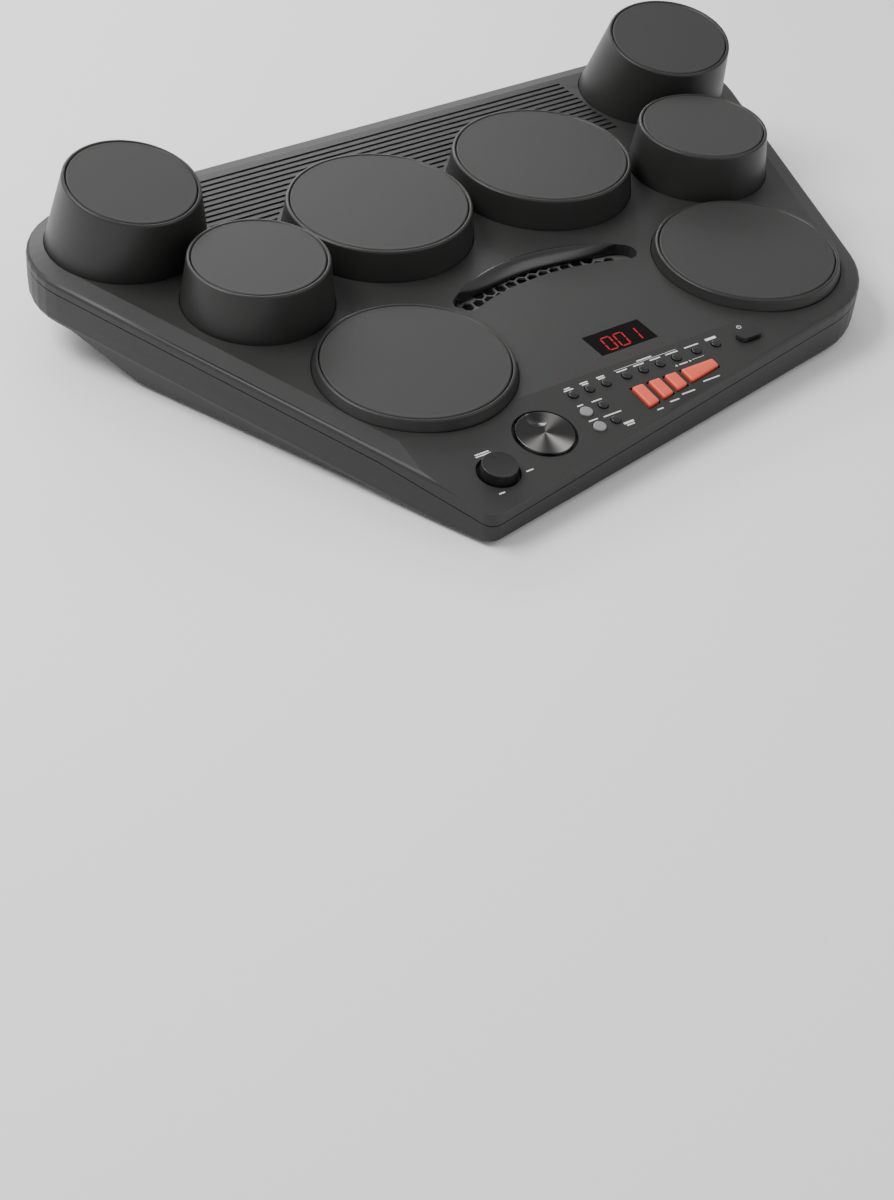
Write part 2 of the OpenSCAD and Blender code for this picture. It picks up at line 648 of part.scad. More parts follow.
// ---- top cover ----
groove_pitch = 6.1;
groove_w = 2.4;
groove_depth = 1.2;
groove_count = 13;
groove_half = case_w / 2 - 128;
module grille_grooves() difference() {
    for (k = [0:groove_count - 1])
        translate([-groove_half, back_y - 22 - k * groove_pitch - groove_w / 2,
                   -groove_depth])
            cube([2 * groove_half, groove_w, groove_depth + 1]);
    both_sides() for (p = [MID, REAR])
        translate([p[0].x, p[0].y, -5]) cylinder(h = 10, r = foot_pad_r(p) + 3);
}
module well(at, r, depth) {
    translate([at.x, at.y, -depth - well_floor])
        cylinder(h = depth + well_floor - 0.5, r = r + wall);
}
module top_cover() color([0.22, 0.22, 0.225]) difference() {
    union() {
        difference() {
            body_block(0);
            body_block(wall);
            below_parting();
        }
        at_screws() cylinder(h = rim_h + boss_join - roof_in, r = boss_r - 1.2);
        both_sides() for (p = PADS) at_ears(p) translate([0, 0, flange_z])
            cylinder(h = -flange_z - roof_in, r = ear_r - 1.2, $fn = 32);
        on_strip() well(dial_at, dial_r + dial_gap, well_dial);
        on_strip() well(knob_at, knob_r + knob_gap, well_knob);
        translate([0, 0, -slot_depth]) linear_extrude(height = slot_depth - roof_in)
            polygon(slot_poly(wall));
        both_sides() for (a = [250, 320])
            translate([speaker_at.x + (speaker_r - 3) * cos(a),
                       speaker_at.y + (speaker_r - 3) * sin(a), speaker_top])
                cylinder(h = -speaker_top - roof_in, r = 3, $fn = 32);
    }
    translate([0, 0, -slot_depth - 1]) linear_extrude(height = slot_depth + 10)
        polygon(slot_poly(0));
    both_sides() for (p = PADS) {
        translate([p[0].x, p[0].y, -20])
            cylinder(h = 40, r = foot_pad_r(p) + cup_gap, $fn = 96);
        at_ears(p) translate([0, 0, flange_z - 1])
            cylinder(h = 2.6, r = pad_screw_r, $fn = 24);
    }
    grille_grooves();
    at_screws() translate([0, 0, -1]) cylinder(h = 5.2, r = case_screw_r, $fn = 24);
    on_strip() {
        for (s = SMALL) translate([ctrl_x + s[0], s[1], -wall - 1])
            cylinder(h = wall + 2, r = small_r + button_gap);
        for (s = GREY) translate([ctrl_x + s[0], s[1], -wall - 1])
            cylinder(h = wall + 2, r = grey_r + button_gap);
        for (k = [0:3]) translate([0, 0, -wall - 1])
            linear_extrude(height = wall + 2) polygon(red_poly(k, button_gap));
        translate([power_at.x, power_at.y, -wall - 1])
            stadium(power_w + 2 * button_gap, power_d + 2 * button_gap, wall + 2);
        translate([dial_at.x, dial_at.y, -well_dial])
            cylinder(h = 10, r = dial_r + dial_gap, $fn = 96);
        translate([knob_at.x, knob_at.y, -well_knob])
            cylinder(h = 10, r = knob_r + knob_gap, $fn = 96);
        for (at = [dial_at, knob_at]) translate([at.x, at.y, -20])
            cylinder(h = 20, r = shaft_r + bush_play);
    }
    translate([-window_w / 2 - 0.1, window_y - window_d / 2 - 0.1, -window_t])
        cube([window_w + 0.2, window_d + 0.2, 5]);
    translate([-window_w / 2 + window_ledge, window_y - window_d / 2 + window_ledge, -5])
        cube([window_w - 2 * window_ledge, window_d - 2 * window_ledge, 6]);
    for (x = LED_X) translate([ctrl_x + x, led_y, -5]) cylinder(h = 8, r = 0.95, $fn = 24);
}

// ---- battery bay in the bottom cover; Y runs along the base from the deepest line ----
door_t = 2.4;
door_play = 0.25;
tongue = 1.4;
bay_rim = 6;
bay_back = -9;
door_w = bay_w + 6;
door_front = bay_back - bay_l - 4;
module bay_hole(h) {
    translate([-bay_w / 2, bay_back - bay_l, -1]) cube([bay_w, bay_l, h + 1]);
}
// Sliding door with a tongue along each side; with play it is the door's recess
module door_plate(play, back = 0) {
    l = back - door_front + play;
    translate([-door_w / 2 - play, door_front - play, 0.2 - (play > 0 ? 2 : 0)])
        cube([door_w + 2 * play, l, door_t - 0.2 + (play > 0 ? 2 + play : 0)]);
    translate([-door_w / 2 - tongue - play, door_front - play, 1.2 - play])
        cube([door_w + 2 * (tongue + play), l, 0.6 + 2 * play]);
}
module battery_door() color([0.2, 0.2, 0.205]) on_base(pan_y) difference() {
    door_plate(0, -0.4);
    for (k = [0:4]) translate([-9, -20 + 3 * k, -1]) cube([18, 1.4, 1.9]);
}
module coil(r, turns) {
    for (k = [0:turns - 1]) translate([0, 0, 1 + 2 * k])
        rotate_extrude($fn = 32) translate([r - 0.8 * k, 0]) circle(r = 0.6, $fn = 16);
    cylinder(h = 1 + 2 * turns, r = 0.7, $fn = 16);
    for (k = [0:turns - 1]) translate([-r + 0.8 * k, -0.5, 0.6 + 2 * k])
        cube([2 * r - 1.6 * k, 1, 0.8]);
}
module battery_contacts() color([0.75, 0.76, 0.78]) on_base(pan_y)
    both_sides() for (k = [0, 1]) {
        translate([bay_w / 2 - 0.4, bay_back - bay_l * (k + 0.5) / 2 - 9, door_t + 4])
            cube([0.4, 18, 18]);
        translate([bay_w / 2 - 0.4, bay_back - bay_l * (k + 0.5) / 2, door_t + 13])
            rotate([0, -90, 0]) coil(5.5, 3);
    }

foot_spots = [[-150, 55], [150, 90], [-215, 262], [215, 262]];
module rubber_feet() color([0.06, 0.06, 0.06])
    for (f = foot_spots) on_base(base_y) translate([f[0], f[1], -foot_h])
        difference() {
            cylinder(h = foot_h, r1 = foot_r - 1, r2 = foot_r);
            translate([0, 0, -1]) cylinder(h = 2, r = foot_r / 2);
        }

// ---- bottom cover ----
socket_z = -20;
socket_h = 14;
socket_w = 18;
socket_deep = 20;
SOCKETS = [[-62, 2.8], [-30, mini_r], [2, jack_r], [34, jack_r], [66, jack_r]];
window_x = [SOCKETS[0][0] - 12, SOCKETS[4][0] + 12];
board_z = socket_z - socket_h / 2;
module main_board() color([0.1, 0.32, 0.2])
    translate([-95, back_y - wall - 62, board_z - board_t]) difference() {
        cube([190, 60, board_t]);
        for (x = [6, 184], y = [6, 54]) translate([x, y, -1]) cylinder(h = 4, r = 1.6, $fn = 24);
    }
module rear_sockets() color([0.08, 0.08, 0.08]) for (s = SOCKETS) difference() {
    union() {
        translate([s[0] - socket_w / 2, back_y - wall - 0.4 - socket_deep, board_z])
            cube([socket_w, socket_deep, socket_h]);
        translate([s[0], back_y - wall - 1, socket_z]) rotate([-90, 0, 0])
            cylinder(h = wall + 1.2, r = 6.2);
    }
    translate([s[0], back_y - 17, socket_z]) rotate([-90, 0, 0])
        cylinder(h = 30, r = s[1]);
}
module bottom_cover() color([0.19, 0.19, 0.195]) {
    difference() {
        union() {
            intersection() {
                difference() {
                    body_block(0);
                    body_block(wall);
                }
                below_parting(part_gap);
            }
            for (s = SCREWS) translate([s.x, s.y, floor_at(s.y) + 1.2])
                cylinder(h = screw_z(s) - 0.1 - floor_at(s.y) - 1.2, r = boss_r);
            on_base(pan_y) {
                translate([-bay_w / 2 - 2, bay_back - bay_l - 2, 1])
                    cube([bay_w + 4, bay_l + 4, door_t + bay_h + 1]);
                translate([-door_w / 2 - 6, door_front - 3, 1])
                    cube([door_w + 12, -door_front + 2.5, bay_rim - 1]);
            }
            for (x = [-89, 89], y = [back_y - wall - 56, back_y - wall - 8])
                translate([x, y, 1 - side_h])
                    cylinder(h = side_h - 1 + board_z - board_t, r = 3, $fn = 32);
        }
        at_screws() {
            translate([0, 0, -30]) cylinder(h = 40, r = case_screw_r + 0.3, $fn = 24);
            translate([0, 0, -60 - screw_seat]) cylinder(h = 60, r = 3.4, $fn = 32);
        }
        on_base(pan_y) {
            bay_hole(door_t + bay_h);
            door_plate(door_play, 12);
        }
        translate([window_x[0], back_y - wall - 5, board_z - 0.5])
            cube([window_x[1] - window_x[0], wall + 10, socket_h + 0.7]);
        both_sides() side_notches();
    }
}

// Finger notches in the crease of each side
notch_pitch = 84;
module side_notches() {
    for (k = [-1:2])
        let (y = 0 + k * notch_pitch)
            translate([side_x(y), y, -side_h])
                rotate([0, 0, -side_angle]) translate([-3, -7, -2]) cube([8, 14, 4]);
}

in_place() top_cover();
in_place() bottom_cover();
in_place() battery_door();
in_place() battery_contacts();
in_place() rubber_feet();
in_place() case_screws();
in_place() pad_cup(FRONT, -1);  // pad_cup_front_left
in_place() pad_cup(FRONT, 1);  // pad_cup_front_right
in_place() pad_cup(MID, -1);  // pad_cup_mid_left
in_place() pad_cup(MID, 1);  // pad_cup_mid_right
in_place() pad_cup(SIDE, -1);  // pad_cup_side_left
in_place() pad_cup(SIDE, 1);  // pad_cup_side_right
in_place() pad_cup(REAR, -1);  // pad_cup_rear_left
in_place() pad_cup(REAR, 1);  // pad_cup_rear_right
in_place() pad_skin(FRONT, -1);  // pad_skin_front_left
in_place() pad_skin(FRONT, 1);  // pad_skin_front_right
in_place() pad_skin(MID, -1);  // pad_skin_mid_left
in_place() pad_skin(MID, 1);  // pad_skin_mid_right
in_place() pad_skin(SIDE, -1);  // pad_skin_side_left
in_place() pad_skin(SIDE, 1);  // pad_skin_side_right
in_place() pad_skin(REAR, -1);  // pad_skin_rear_left
in_place() pad_skin(REAR, 1);  // pad_skin_rear_right
in_place() sensor_plates();
in_place() sensor_foam();
in_place() piezo_sensors();
in_place() pad_screws();
in_place() small_button(0);  // function_button_1
in_place() small_button(1);  // function_button_2
in_place() small_button(2);  // function_button_3
in_place() small_button(3);  // function_button_4
in_place() small_button(4);  // function_button_5
in_place() small_button(5);  // function_button_6
in_place() small_button(6);  // function_button_7
in_place() small_button(7);  // function_button_8
in_place() small_button(8);  // function_button_9
in_place() small_button(9);  // click_button
in_place() small_button(10);  // tempo_button
in_place() grey_button(0);  // kit_button
in_place() grey_button(1);  // song_button
in_place() red_button(0);  // rec_button
in_place() red_button(1);  // break_button
in_place() red_button(2);  // repeat_button
in_place() red_button(3);  // start_button
in_place() power_button();
in_place() data_dial();
in_place() dial_shaft();
in_place() dial_encoder();
in_place() volume_knob();
in_place() volume_shaft();
in_place() volume_pot();
in_place() display_window();
in_place() display_module();
in_place() indicator_leds();
in_place() tact_switches();
in_place() panel_board();
in_place() main_board();
in_place() rear_sockets();
in_place() speakers();
in_place() speaker_mesh();
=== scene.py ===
import json
import math
import bpy
import bmesh
from mathutils import Matrix, Vector


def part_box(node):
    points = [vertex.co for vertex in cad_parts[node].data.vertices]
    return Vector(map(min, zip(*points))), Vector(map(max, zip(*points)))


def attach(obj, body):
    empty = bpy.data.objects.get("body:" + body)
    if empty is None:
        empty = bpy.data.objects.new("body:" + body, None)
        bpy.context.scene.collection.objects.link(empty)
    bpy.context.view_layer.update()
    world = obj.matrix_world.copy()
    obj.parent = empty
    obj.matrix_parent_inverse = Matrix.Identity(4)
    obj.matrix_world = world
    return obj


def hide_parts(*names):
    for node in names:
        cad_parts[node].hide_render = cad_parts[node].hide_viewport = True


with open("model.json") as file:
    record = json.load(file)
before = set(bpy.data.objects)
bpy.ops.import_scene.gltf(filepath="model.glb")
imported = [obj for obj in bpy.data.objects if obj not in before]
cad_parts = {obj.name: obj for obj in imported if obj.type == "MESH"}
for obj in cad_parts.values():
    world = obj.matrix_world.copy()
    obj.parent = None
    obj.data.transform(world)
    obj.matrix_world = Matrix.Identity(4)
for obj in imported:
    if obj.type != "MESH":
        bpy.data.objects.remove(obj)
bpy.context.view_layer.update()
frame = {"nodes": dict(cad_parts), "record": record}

MM = 0.001
record = frame["record"]
nodes = frame["nodes"]
joints = {j["name"]: j for j in record["behaviour"]["joints"]}
mounts = {m["name"]: m for m in record["mounts"]}


def middle(node):
    lo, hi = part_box(node)
    return (Vector(lo) + Vector(hi)) / 2


# ---- frames: the flat panel and the control strip ----
SKIN_T = 3.5
FRONT_UP = 7.1
CREASE_Y = -58.0
panel_y = Vector(mounts["phones_out"]["axis"]).normalized()
panel_n = Vector((0, -panel_y.z, panel_y.y))
strip_n = Vector(joints["dial_turn"]["axis"]).normalized()
strip_y = Vector((0, strip_n.z, -strip_n.y))
front_mid = (middle("pad_skin_front_left") + middle("pad_skin_front_right")) / 2
panel_origin = front_mid - panel_n * (FRONT_UP - SKIN_T / 2) * MM


def frame_matrix(origin, x, y, z):
    m = Matrix((x, y, z)).transposed().to_4x4()
    m.translation = origin
    return m


X = Vector((1, 0, 0))
PANEL = frame_matrix(panel_origin, X, panel_y, panel_n)
STRIP = frame_matrix(PANEL @ Vector((0, CREASE_Y * MM, 0)), X, strip_y, strip_n)


# ---- materials ----
def material(name, colour, rough, grain=0.0, grain_mm=0.35, metal=0.0, coat=0.0, vary=0.06,
             rough_vary=0.05, spec=0.5, emit=None, blotch_mm=60.0):
    m = bpy.data.materials.new(name)
    m.use_nodes = True
    nt = m.node_tree
    bsdf = nt.nodes["Principled BSDF"]
    bsdf.inputs["Metallic"].default_value = metal
    bsdf.inputs["Coat Weight"].default_value = coat
    bsdf.inputs["Coat Roughness"].default_value = 0.08
    bsdf.inputs["Specular IOR Level"].default_value = spec
    coord = nt.nodes.new("ShaderNodeTexCoord")
    large = nt.nodes.new("ShaderNodeTexNoise")
    large.inputs["Scale"].default_value = 1 / (blotch_mm * MM)
    large.inputs["Detail"].default_value = 3
    nt.links.new(coord.outputs["Object"], large.inputs["Vector"])
    ramp = nt.nodes.new("ShaderNodeMix")
    ramp.data_type = "RGBA"
    ramp.inputs[6].default_value = (*[c * (1 - vary) for c in colour], 1)
    ramp.inputs[7].default_value = (*[min(1, c * (1 + vary)) for c in colour], 1)
    nt.links.new(large.outputs["Fac"], ramp.inputs[0])
    nt.links.new(ramp.outputs[2], bsdf.inputs["Base Color"])
    fine = nt.nodes.new("ShaderNodeTexNoise")
    fine.inputs["Scale"].default_value = 1 / (grain_mm * MM)
    fine.inputs["Detail"].default_value = 2
    nt.links.new(coord.outputs["Object"], fine.inputs["Vector"])
    span = nt.nodes.new("ShaderNodeMapRange")
    span.inputs["To Min"].default_value = max(0.02, rough - rough_vary)
    span.inputs["To Max"].default_value = min(1, rough + rough_vary)
    nt.links.new(fine.outputs["Fac"], span.inputs["Value"])
    nt.links.new(span.outputs["Result"], bsdf.inputs["Roughness"])
    if grain:
        bump = nt.nodes.new("ShaderNodeBump")
        bump.inputs["Strength"].default_value = grain
        bump.inputs["Distance"].default_value = 0.06 * MM
        nt.links.new(fine.outputs["Fac"], bump.inputs["Height"])
        nt.links.new(bump.outputs["Normal"], bsdf.inputs["Normal"])
    if emit:
        bsdf.inputs["Emission Color"].default_value = (*colour, 1)
        bsdf.inputs["Emission Strength"].default_value = emit
    return m


MATS = {
    "case_plastic": material("case_plastic", (0.0215, 0.021, 0.0205), 0.46, grain=0.35, grain_mm=0.5,
                             spec=0.30),
    "pad_rubber": material("pad_rubber", (0.026, 0.0255, 0.025), 0.60, grain=0.3, grain_mm=0.35,
                           spec=0.32),
    "pad_rim": material("pad_rim", (0.0175, 0.017, 0.0165), 0.40, grain=0.2, grain_mm=0.4,
                        spec=0.32),
    "coral_button": material("coral_button", (0.70, 0.085, 0.045), 0.40, grain=0.05),
    "grey_button": material("grey_button", (0.19, 0.19, 0.195), 0.42, grain=0.1),
    "black_button": material("black_button", (0.006, 0.006, 0.0065), 0.34, grain=0.05),
    "circuit_board": material("circuit_board", (0.02, 0.12, 0.05), 0.35, blotch_mm=8, vary=0.2),
    "steel": material("steel", (0.55, 0.55, 0.57), 0.32, metal=1.0, grain=0.1),
    "foam": material("foam", (0.02, 0.02, 0.02), 0.95, grain=0.8, grain_mm=0.8),
    "piezo_brass": material("piezo_brass", (0.72, 0.52, 0.2), 0.35, metal=1.0),
    "foot_rubber": material("foot_rubber", (0.015, 0.015, 0.015), 0.75, grain=0.4),
    "display_window": material("display_window", (0.003, 0.002, 0.002), 0.12, rough_vary=0.02,
                               spec=0.06),
    "display_module": material("display_module", (0.02, 0.008, 0.008), 0.5),
    "red_led": material("red_led", (0.10, 0.008, 0.008), 0.3, spec=0.3),
    "gloss_black": material("gloss_black", (0.010, 0.010, 0.011), 0.16, rough_vary=0.03, coat=0.5),
    "satin_black": material("satin_black", (0.010, 0.010, 0.0105), 0.30, grain=0.1, spec=0.4),
    "speaker": material("speaker", (0.02, 0.02, 0.02), 0.6),
    "mesh_black": material("mesh_black", (0.075, 0.075, 0.074), 0.36, grain=0.1),
    "component_black": material("component_black", (0.015, 0.015, 0.016), 0.5, grain=0.2),
    "digit_red": material("digit_red", (0.30, 0.008, 0.014), 0.4, emit=0.42, spec=0.1),
    # near-black colour: painted shade that stands for the recess of the knob's pointer notch
    "painted_notch_shade": material("painted_notch_shade", (0.002, 0.002, 0.002), 0.6),
    "lip_gloss": material("lip_gloss", (0.010, 0.010, 0.011), 0.24, grain=0.05),
    # dial face material: its base colour is replaced below by a painted highlight pattern
    "dial_spun": material("dial_spun", (0.035, 0.035, 0.037), 0.24, metal=0.6, coat=0.3,
                          rough_vary=0.02),
    "print_white": material("print_white", (0.62, 0.62, 0.62), 0.55, vary=0.12, blotch_mm=2),
}
# Dial face: painted highlight, a sheen laid into the base colour that runs out from the centre in two pairs of
# wedges, standing in for the gleam of a turned face
dial_sheen = MATS["dial_spun"].node_tree
dial_sheen_coord = dial_sheen.nodes.new("ShaderNodeTexCoord")
dial_sheen_split = dial_sheen.nodes.new("ShaderNodeSeparateXYZ")
dial_sheen.links.new(dial_sheen_coord.outputs["Object"], dial_sheen_split.inputs[0])


def dial_sheen_math(operation, a, b=None):
    node = dial_sheen.nodes.new("ShaderNodeMath")
    node.operation = operation
    for socket, value in zip(node.inputs, (a, b)):
        if isinstance(value, (int, float)):
            socket.default_value = value
        elif value is not None:
            dial_sheen.links.new(value, socket)
    return node.outputs[0]


turn = dial_sheen_math("ARCTAN2", dial_sheen_split.outputs["Y"], dial_sheen_split.outputs["X"])


def highlight_wedge(angle, fold, sharp):
    """1 on rays at the angle, falling off to 0 between them."""
    wave = dial_sheen_math("COSINE", dial_sheen_math("MULTIPLY", dial_sheen_math("SUBTRACT", turn, math.radians(angle)), fold))
    return dial_sheen_math("POWER", dial_sheen_math("MAXIMUM", wave, 0.0), sharp)


# painted highlight: bright wedges at fixed angles, mixed into the base colour
painted_sheen = dial_sheen_math("ADD", highlight_wedge(-78, 1, 14), dial_sheen_math("MULTIPLY", highlight_wedge(-152, 1, 18), 0.55))
painted_sheen = dial_sheen_math("ADD", painted_sheen, dial_sheen_math("MULTIPLY", highlight_wedge(38, 1, 20), 0.4))
dial_sheen_mix = dial_sheen.nodes.new("ShaderNodeMix")
dial_sheen_mix.data_type = "RGBA"
dial_sheen_mix.inputs[6].default_value = (0.008, 0.008, 0.0085, 1)
dial_sheen_mix.inputs[7].default_value = (0.36, 0.35, 0.34, 1)
dial_sheen.links.new(painted_sheen, dial_sheen_mix.inputs[0])
dial_sheen.links.new(dial_sheen_mix.outputs[2], dial_sheen.nodes["Principled BSDF"].inputs["Base Color"])
slot_of = {s["node"]: s["material_slot"] for s in record["subparts"]}
for name, obj in nodes.items():
    if obj.type == "MESH":
        obj.data.materials.clear()
        obj.data.materials.append(MATS[slot_of[name]])


# ---- mesh helpers ----
def add_mesh(name, verts, faces, mat, body, at=None, smooth=True, slot=None):
    me = bpy.data.meshes.new(name)
    me.from_pydata([tuple(v) for v in verts], [], faces)
    bm = bmesh.new()
    bm.from_mesh(me)
    bmesh.ops.recalc_face_normals(bm, faces=bm.faces)
    bm.to_mesh(me)
    bm.free()
    if smooth:
        me.polygons.foreach_set("use_smooth", [True] * len(me.polygons))
    me.materials.append(MATS[mat])
    ob = bpy.data.objects.new(name, me)
    bpy.context.scene.collection.objects.link(ob)
    if at is not None:
        me.transform(at.inverted())
        ob.matrix_world = at
    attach(ob, body)
    return ob


def loft_mesh(rings, close_start=False, close_end=False):
    """Vertices and faces of a skin through closed rings with equal point counts."""
    n = len(rings[0])
    verts = [p for r in rings for p in r]
    faces = []
    for j in range(len(rings) - 1):
        for k in range(n):
            a, b = j * n + k, j * n + (k + 1) % n
            faces.append((a, b, b + n, a + n))
    if close_start:
        faces.append(tuple(range(n - 1, -1, -1)))
    if close_end:
        base = (len(rings) - 1) * n
        faces.append(tuple(range(base, base + n)))
    return verts, faces


def ring_points(m, r, z, n):
    return [m @ (Vector((r * math.cos(2 * math.pi * k / n), r * math.sin(2 * math.pi * k / n), z))
                 * MM) for k in range(n)]


def arc(cx, cz, r, a0, a1, count):
    """Profile points round a corner, angles in degrees from the profile's outward axis."""
    return [(cx + r * math.cos(math.radians(a0 + (a1 - a0) * k / count)),
             cz + r * math.sin(math.radians(a0 + (a1 - a0) * k / count)))
            for k in range(count + 1)]


def lathe(name, m, profile, mat, body, seg=96, slot=None):
    """Turned piece: profile as (radius, height) in mm from the axis out and back."""
    rings = [ring_points(m, max(r, 0.02), z, seg) for r, z in profile]
    return add_mesh(name, *loft_mesh(rings, True, True), mat, body, slot=slot)


# ---- pads ----
SEG = 160
DISC_GAP, RIM = 0.8, 2.4
PADS = {  # disc radius, widening to the foot, height, lean, inward lean, top offset
    "front": (62.1, 1.9, 7.1, 0, 0, (0, 0)),
    "mid": (62.1, 2.4, 22.8, 0, 0, (0, 0)),
    "side": (44.5, 4.1, 34.4, 0, 0, (0, 0)),
    "rear": (43.8, 9.0, 51.3, 8.85, 3.6, (1, -11.7)),
}


def blend_rings(a, b, t):
    return [p.lerp(q, t) for p, q in zip(a, b)]


for row_name, (disc, widen, up, lean, inward, off) in PADS.items():
    for side, s in (("left", -1), ("right", 1)):
        skin, cup = f"pad_skin_{row_name}_{side}", f"pad_cup_{row_name}_{side}"
        tilt = (Matrix.Rotation(math.radians(-inward * s), 4, "Y")
                @ Matrix.Rotation(math.radians(lean), 4, "X"))
        face = PANEL @ tilt
        face.translation = middle(skin) + (face.to_3x3() @ Vector((0, 0, SKIN_T / 2 * MM)))
        foot = PANEL.copy()
        local = PANEL.inverted() @ face.translation
        foot.translation = PANEL @ Vector((local.x - off[0] * s * MM, local.y - off[1] * MM, 0))
        seat = disc + DISC_GAP
        out = seat + RIM
        foot_r = out + widen
        inner = [(seat, -3.2), (seat, -0.5)] + arc(seat + 0.5, -0.5, 0.5, 180, 90, 4)
        outer = arc(out - 1.5, -1.5, 1.5, 90, 4, 8)
        rings = [ring_points(face, r, z, SEG) for r, z in inner + outer]
        low = ring_points(foot, foot_r, 0.0, SEG)
        top = rings[-1]
        rings += [blend_rings(top, low, t / 8) for t in range(1, 9)]
        rings.append(ring_points(foot, foot_r - 0.1, -2.6, SEG))
        shell = add_mesh(f"{cup}_shell", *loft_mesh(rings, True, True), "pad_rim", "unit")
        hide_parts(cup)
        edge = 1.1
        prof = [(0, -0.05), (disc * 0.5, -0.05), (disc - 4, -0.05), (disc - edge - 0.6, -0.08)]
        prof += arc(disc - edge, -edge, edge, 84, 0, 6) + [(disc, -3.2), (0, -3.2)]
        disc_ob = lathe(f"{skin}_disc", face, prof, "pad_rubber", "unit", SEG)
        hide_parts(skin)

# ---- softened edges on the moulded pieces ----
BEVELS = {"top_cover": 0.7, "bottom_cover": 0.7, "battery_door": 0.3, "power_button": 0.4, "speaker_mesh": 0.15}
for name, width in BEVELS.items():
    weld = nodes[name].modifiers.new("weld", "WELD")
    weld.merge_threshold = 0.00001
    bevel = nodes[name].modifiers.new("bevel", "BEVEL")
    bevel.width = width * MM
    bevel.segments = 2
    bevel.limit_method = "ANGLE"
    bevel.angle_limit = math.radians(35)
    bevel.harden_normals = True
    bevel.use_clamp_overlap = True

# ---- display digits ----
WINDOW = middle("display_window")
DIGIT_DROP = 1.9
display = PANEL.copy()
display.translation = PANEL @ Vector(((PANEL.inverted() @ WINDOW).x,
                                      (PANEL.inverted() @ WINDOW).y - DIGIT_DROP * MM, 0))
SEGMENTS = {"0": "abcdef", "1": "bc"}
DIGIT_W, DIGIT_H, STROKE, SLANT, PITCH = 7.0, 13.5, 1.15, 0.12, 10.5
verts, faces = [], []


def bar(x0, y0, x1, y1, w, z=0.06, m=None):
    """Flat hexagonal bar with pointed ends between two points, in mm."""
    m = m or display
    d = Vector((x1 - x0, y1 - y0)).normalized()
    nrm = Vector((-d.y, d.x)) * w / 2
    pts = [(x0, y0), (x0 + d.x * w / 2 + nrm.x, y0 + d.y * w / 2 + nrm.y),
           (x1 - d.x * w / 2 + nrm.x, y1 - d.y * w / 2 + nrm.y), (x1, y1),
           (x1 - d.x * w / 2 - nrm.x, y1 - d.y * w / 2 - nrm.y),
           (x0 + d.x * w / 2 - nrm.x, y0 + d.y * w / 2 - nrm.y)]
    base = len(verts)
    for zz in (z - 0.03, z):
        verts.extend(m @ (Vector((px + SLANT * py, py, zz)) * MM) for px, py in pts)
    faces.append(tuple(range(base + 6, base + 12)))
    faces.append(tuple(range(base + 5, base - 1, -1)))
    for k in range(6):
        faces.append((base + k, base + (k + 1) % 6, base + 6 + (k + 1) % 6, base + 6 + k))


for k, ch in enumerate("001"):
    cx = (k - 1) * PITCH
    l, r, b, t = cx - DIGIT_W / 2, cx + DIGIT_W / 2, -DIGIT_H / 2, DIGIT_H / 2
    spots = {"a": (l, t, r, t), "b": (r, 0, r, t), "c": (r, b, r, 0), "d": (l, b, r, b),
             "e": (l, b, l, 0), "f": (l, 0, l, t), "g": (l, 0, r, 0)}
    for seg_name in SEGMENTS[ch]:
        x0, y0, x1, y1 = spots[seg_name]
        d = Vector((x1 - x0, y1 - y0)).normalized() * 0.25
        bar(x0 + d.x, y0 + d.y, x1 - d.x, y1 - d.y, STROKE)
add_mesh("display_digits", verts, faces, "digit_red", "unit", smooth=False,
         slot="display_module")

# ---- controls on the strip ----
def strip_span(node, top_only=False):
    """Points of a CAD node in the strip's frame, in mm; with top_only, only those at its top."""
    inv = STRIP.inverted()
    pts = [inv @ v.co / MM for v in nodes[node].data.vertices]
    if top_only:
        high = max(p.z for p in pts)
        pts = [p for p in pts if p.z > high - 0.05]
    return pts


def strip_centre(node):
    pts = strip_span(node)
    return ((min(p.x for p in pts) + max(p.x for p in pts)) / 2,
            (min(p.y for p in pts) + max(p.y for p in pts)) / 2, max(p.z for p in pts))


def strip_at(x, y, z=0.0):
    m = STRIP.copy()
    m.translation = STRIP @ (Vector((x, y, z)) * MM)
    return m


LOW = -3.9
for node in [f"function_button_{k}" for k in range(1, 10)] + ["click_button", "tempo_button",
                                                              "kit_button", "song_button"]:
    x, y, top = strip_centre(node)
    grey = node in ("kit_button", "song_button")
    r = 4.4 if grey else 3.3
    prof = [(0, top), (r * 0.4, top - 0.03), (r * 0.7, top - 0.12)]
    prof += arc(r - 0.7, top - 0.85, 0.65, 80, 0, 5) + [(r - 0.02, LOW), (0, LOW)]
    cap = lathe(f"{node}_cap", strip_at(x, y), prof, slot_of[node], f"{node}_body", 48)
    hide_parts(node)


def rounded_loop(corners, inset, radius, z, m, count=6):
    """Loop round a convex polygon, moved in by inset, with round corners."""
    n = len(corners)
    area2 = sum(corners[k][0] * corners[(k + 1) % n][1] - corners[(k + 1) % n][0] * corners[k][1]
                for k in range(n))
    pts = corners if area2 > 0 else corners[::-1]
    out = []
    for k in range(n):
        a, b, c = (Vector(pts[(k + d) % n]) for d in (-1, 0, 1))
        d1, d2 = (b - a).normalized(), (c - b).normalized()
        n1, n2 = Vector((d1.y, -d1.x)), Vector((d2.y, -d2.x))
        depth = inset + radius
        det = n1.x * n2.y - n1.y * n2.x
        k1, k2 = n1.dot(b) - depth, n2.dot(b) - depth
        cen = Vector(((k1 * n2.y - k2 * n1.y) / det, (n1.x * k2 - n2.x * k1) / det))
        a1, a2 = math.atan2(n1.y, n1.x), math.atan2(n2.y, n2.x)
        turn = (a2 - a1) % (2 * math.pi)
        for t in range(count + 1):
            ang = a1 + turn * t / count
            out.append(m @ (Vector((cen.x + radius * math.cos(ang),
                                    cen.y + radius * math.sin(ang), z)) * MM))
    return out


